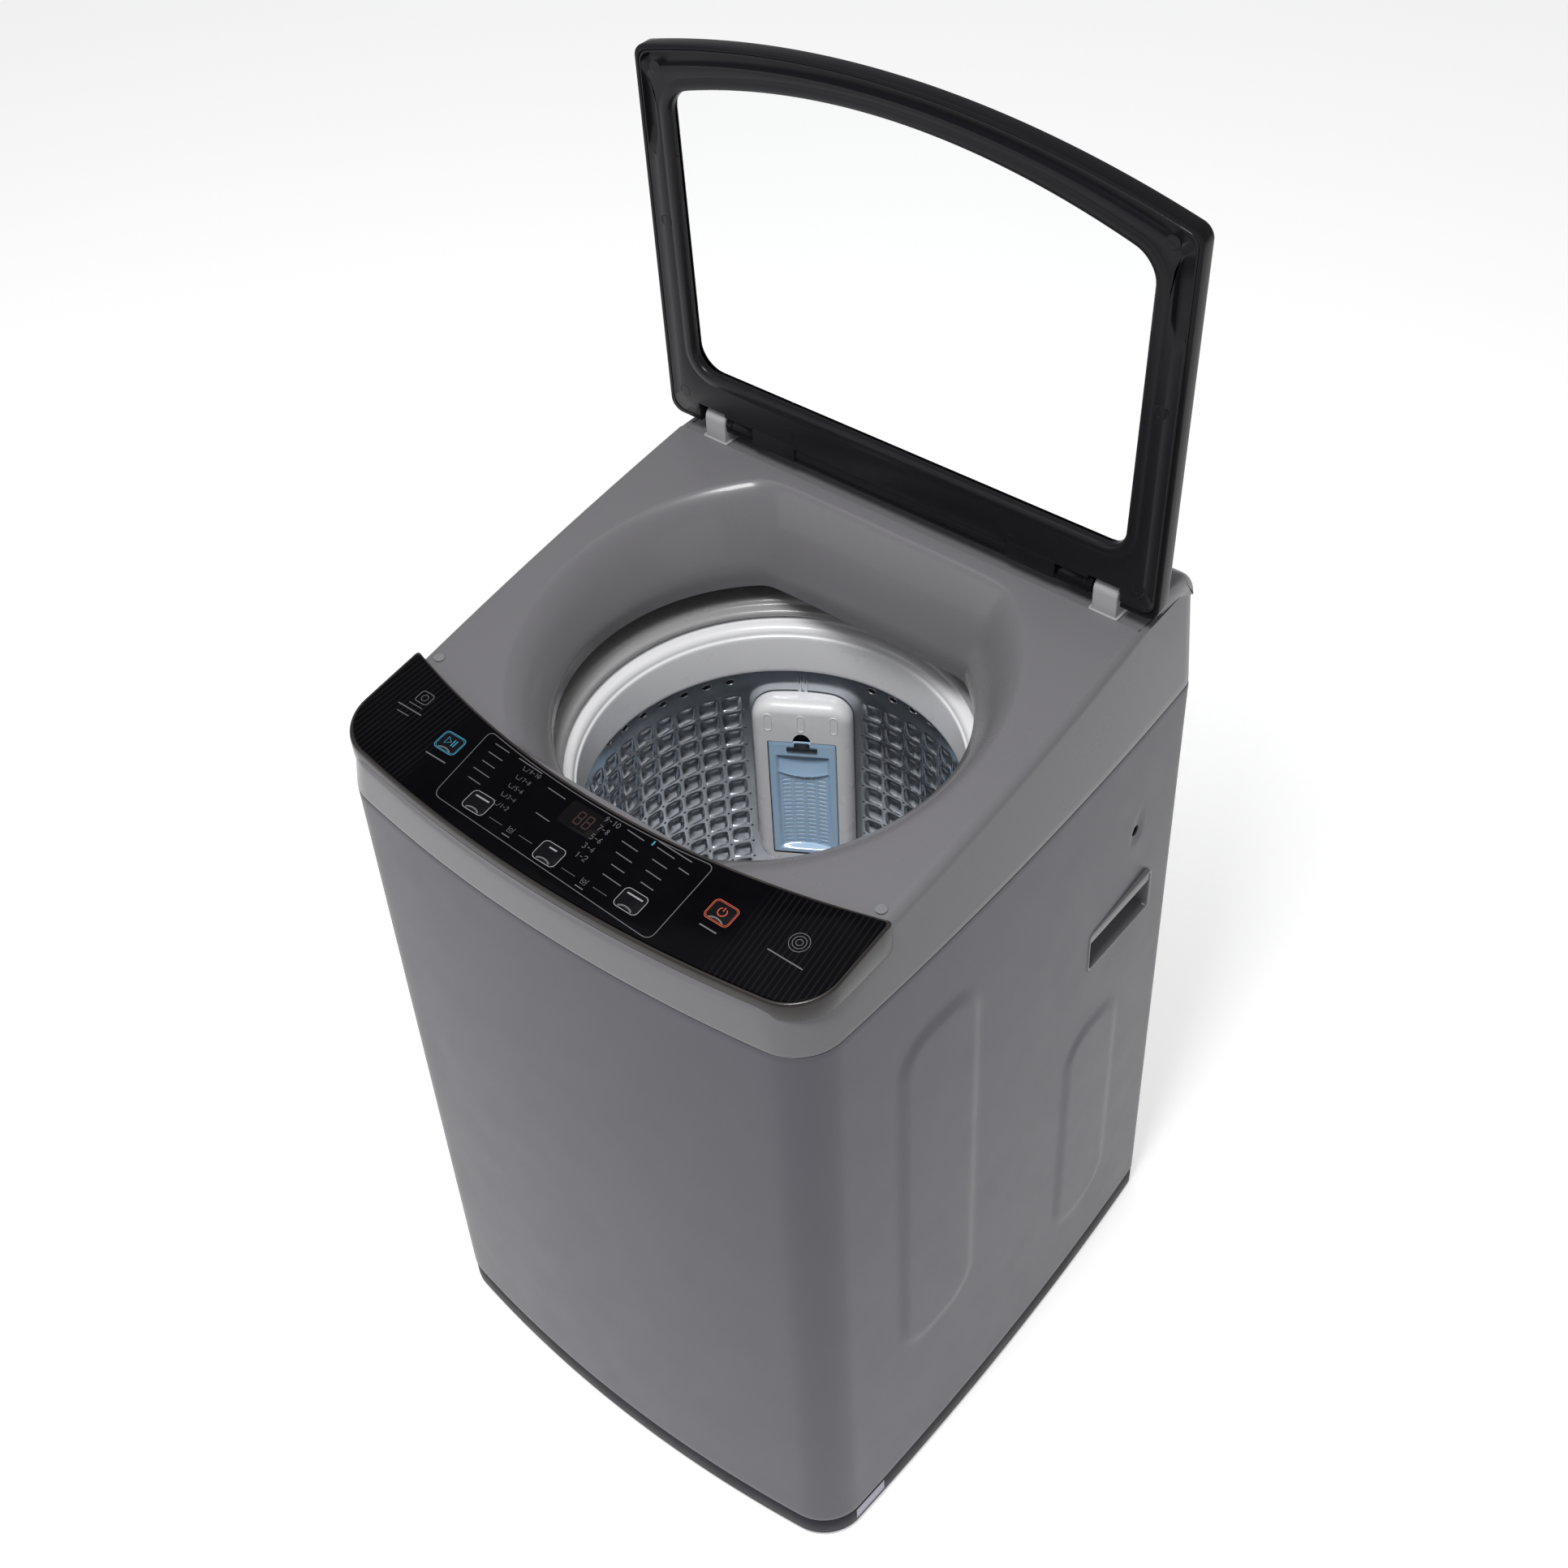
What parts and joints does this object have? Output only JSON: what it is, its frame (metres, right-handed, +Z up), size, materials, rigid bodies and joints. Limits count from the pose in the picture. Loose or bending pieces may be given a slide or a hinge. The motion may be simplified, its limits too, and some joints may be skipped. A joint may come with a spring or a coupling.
{
  "type": "top load washing machine",
  "caption": "Free-standing top load washing machine with a hinged glass lid, sloping control panel, stainless drum, suspended tub and belt drive.",
  "frame": {"origin": "on the floor, under the middle of the machine", "axes": "+Z up, -Y the front where the user stands, +X the right side as seen from the front"},
  "size_m": [0.584, 0.6104, 1.3833],
  "materials": {
    "silver_paint": "satin",
    "grey_plastic": "gloss",
    "pale_grey_plastic": "gloss",
    "charcoal_plastic": "matte",
    "panel_bronze": "gloss",
    "panel_black": "high gloss",
    "lid_black": "satin gloss",
    "lid_glass": "clear",
    "clear_bumper": "clear",
    "stainless": "polished",
    "zinc_steel": "plain",
    "white_plastic": "satin",
    "filter_blue": "translucent",
    "board_green": "satin",
    "black_rubber": "matte"
  },
  "bodies": {
    "cabinet": {"cabinet_shell": "silver_paint", "back_cover": "silver_paint", "handle_pocket_left": "grey_plastic", "handle_pocket_right": "grey_plastic", "base_frame": "charcoal_plastic", "top_cover": "grey_plastic", "panel_housing": "panel_bronze", "panel_fascia": "panel_black", "display_window": "panel_black", "control_board": "board_green", "hinge_post_left": "pale_grey_plastic", "hinge_post_right": "pale_grey_plastic", "hinge_pin_left": "zinc_steel", "hinge_pin_right": "zinc_steel", "lid_buffer_left": "clear_bumper", "lid_buffer_right": "clear_bumper", "lid_switch": "white_plastic", "inlet_valve": "white_plastic", "cord_gland": "black_rubber", "drain_hose": "black_rubber", "suspension_rod_front_left": "zinc_steel", "suspension_rod_front_right": "zinc_steel", "suspension_rod_rear_left": "zinc_steel", "suspension_rod_rear_right": "zinc_steel", "suspension_spring_front_left": "zinc_steel", "suspension_spring_front_right": "zinc_steel", "suspension_spring_rear_left": "zinc_steel", "suspension_spring_rear_right": "zinc_steel"},
    "foot_front_left": {"foot_front_left": "black_rubber"},
    "foot_front_right": {"foot_front_right": "black_rubber"},
    "foot_rear_left": {"foot_rear_left": "black_rubber"},
    "foot_rear_right": {"foot_rear_right": "black_rubber"},
    "start_pause_key": {"start_pause_key": "panel_black"},
    "process_key": {"process_key": "panel_black"},
    "custom_key": {"custom_key": "panel_black"},
    "program_key": {"program_key": "panel_black"},
    "power_key": {"power_key": "panel_black"},
    "lid": {"lid_outer_frame": "lid_black", "lid_inner_frame": "lid_black", "lid_glass": "lid_glass", "hinge_cover_left": "lid_black", "hinge_cover_right": "lid_black"},
    "tub": {"outer_tub": "white_plastic", "tub_cover_ring": "grey_plastic", "gearbox": "zinc_steel", "motor_bracket": "zinc_steel", "motor": "zinc_steel", "drive_belt": "black_rubber", "drain_valve": "charcoal_plastic"},
    "drum": {"drum_basket": "stainless", "drum_base": "white_plastic", "balance_ring": "pale_grey_plastic", "lint_filter_housing": "grey_plastic"},
    "lint_cassette": {"lint_cassette": "filter_blue"},
    "lint_latch": {"lint_latch": "charcoal_plastic"},
    "pulsator": {"pulsator": "pale_grey_plastic", "pulsator_cap": "pale_grey_plastic", "agitator_shaft": "stainless"},
    "drive_pulley": {"drive_pulley": "zinc_steel"},
    "motor_pulley": {"motor_pulley": "zinc_steel"}
  },
  "joints": [
    {"name": "lid_hinge", "type": "hinge", "parent": "cabinet", "child": "lid", "pos_m": [0, 0.222, 0.955], "axis": [1, 0, 0], "range_deg": [0, 97.5]},
    {"name": "start_pause_key_press", "type": "slide", "parent": "cabinet", "child": "start_pause_key", "axis": [0, 0.1386, -0.9903], "range_m": [0, 0.0012], "stiffness_N_per_m": 800, "springref_m": -0.0008},
    {"name": "process_key_press", "type": "slide", "parent": "cabinet", "child": "process_key", "axis": [0, 0.1386, -0.9903], "range_m": [0, 0.0012], "stiffness_N_per_m": 800, "springref_m": -0.0008},
    {"name": "custom_key_press", "type": "slide", "parent": "cabinet", "child": "custom_key", "axis": [0, 0.1386, -0.9903], "range_m": [0, 0.0012], "stiffness_N_per_m": 800, "springref_m": -0.0008},
    {"name": "program_key_press", "type": "slide", "parent": "cabinet", "child": "program_key", "axis": [0, 0.1386, -0.9903], "range_m": [0, 0.0012], "stiffness_N_per_m": 800, "springref_m": -0.0008},
    {"name": "power_key_press", "type": "slide", "parent": "cabinet", "child": "power_key", "axis": [0, 0.1386, -0.9903], "range_m": [0, 0.0012], "stiffness_N_per_m": 800, "springref_m": -0.0008},
    {"name": "foot_front_left_turn", "type": "hinge", "parent": "cabinet", "child": "foot_front_left", "pos_m": [-0.236, -0.238, 0.03], "axis": [0, 0, 1], "continuous": true},
    {"name": "foot_front_right_turn", "type": "hinge", "parent": "cabinet", "child": "foot_front_right", "pos_m": [0.236, -0.238, 0.03], "axis": [0, 0, 1], "continuous": true},
    {"name": "foot_rear_left_turn", "type": "hinge", "parent": "cabinet", "child": "foot_rear_left", "pos_m": [-0.236, 0.238, 0.03], "axis": [0, 0, 1], "continuous": true},
    {"name": "foot_rear_right_turn", "type": "hinge", "parent": "cabinet", "child": "foot_rear_right", "pos_m": [0.236, 0.238, 0.03], "axis": [0, 0, 1], "continuous": true},
    {"name": "tub_suspension", "type": "slide", "parent": "cabinet", "child": "tub", "axis": [0, 0, 1], "range_m": [-0.012, 0.006], "stiffness_N_per_m": 20000, "springref_m": 0.01, "deforming": ["suspension_spring_front_left", "suspension_spring_front_right", "suspension_spring_rear_left", "suspension_spring_rear_right"]},
    {"name": "drum_spin", "type": "hinge", "parent": "tub", "child": "drum", "pos_m": [0, 0.008, 0.3], "axis": [0, 0, 1], "continuous": true},
    {"name": "pulsator_spin", "type": "hinge", "parent": "tub", "child": "pulsator", "pos_m": [0, 0.008, 0.3], "axis": [0, 0, 1], "continuous": true},
    {"name": "drive_pulley_spin", "type": "hinge", "parent": "tub", "child": "drive_pulley", "pos_m": [0, 0.008, 0.12], "axis": [0, 0, 1], "continuous": true},
    {"name": "motor_spin", "type": "hinge", "parent": "tub", "child": "motor_pulley", "pos_m": [-0.128, -0.112, 0.12], "axis": [0, 0, 1], "continuous": true},
    {"name": "lint_cassette_tilt", "type": "hinge", "parent": "drum", "child": "lint_cassette", "pos_m": [-0.09193, 0.161, 0.4575], "axis": [0.8572, 0.515, 0], "range_deg": [0, 25]},
    {"name": "lint_latch_slide", "type": "slide", "parent": "lint_cassette", "child": "lint_latch", "axis": [0, 0, -1], "range_m": [0, 0.0006], "stiffness_N_per_m": 400, "springref_m": -0.0005}
  ],
  "couplings": [
    {"joint": "motor_spin", "follows": "drive_pulley_spin", "ratio": 3.0435},
    {"joint": "pulsator_spin", "follows": "drive_pulley_spin", "ratio": 0.2}
  ]
}
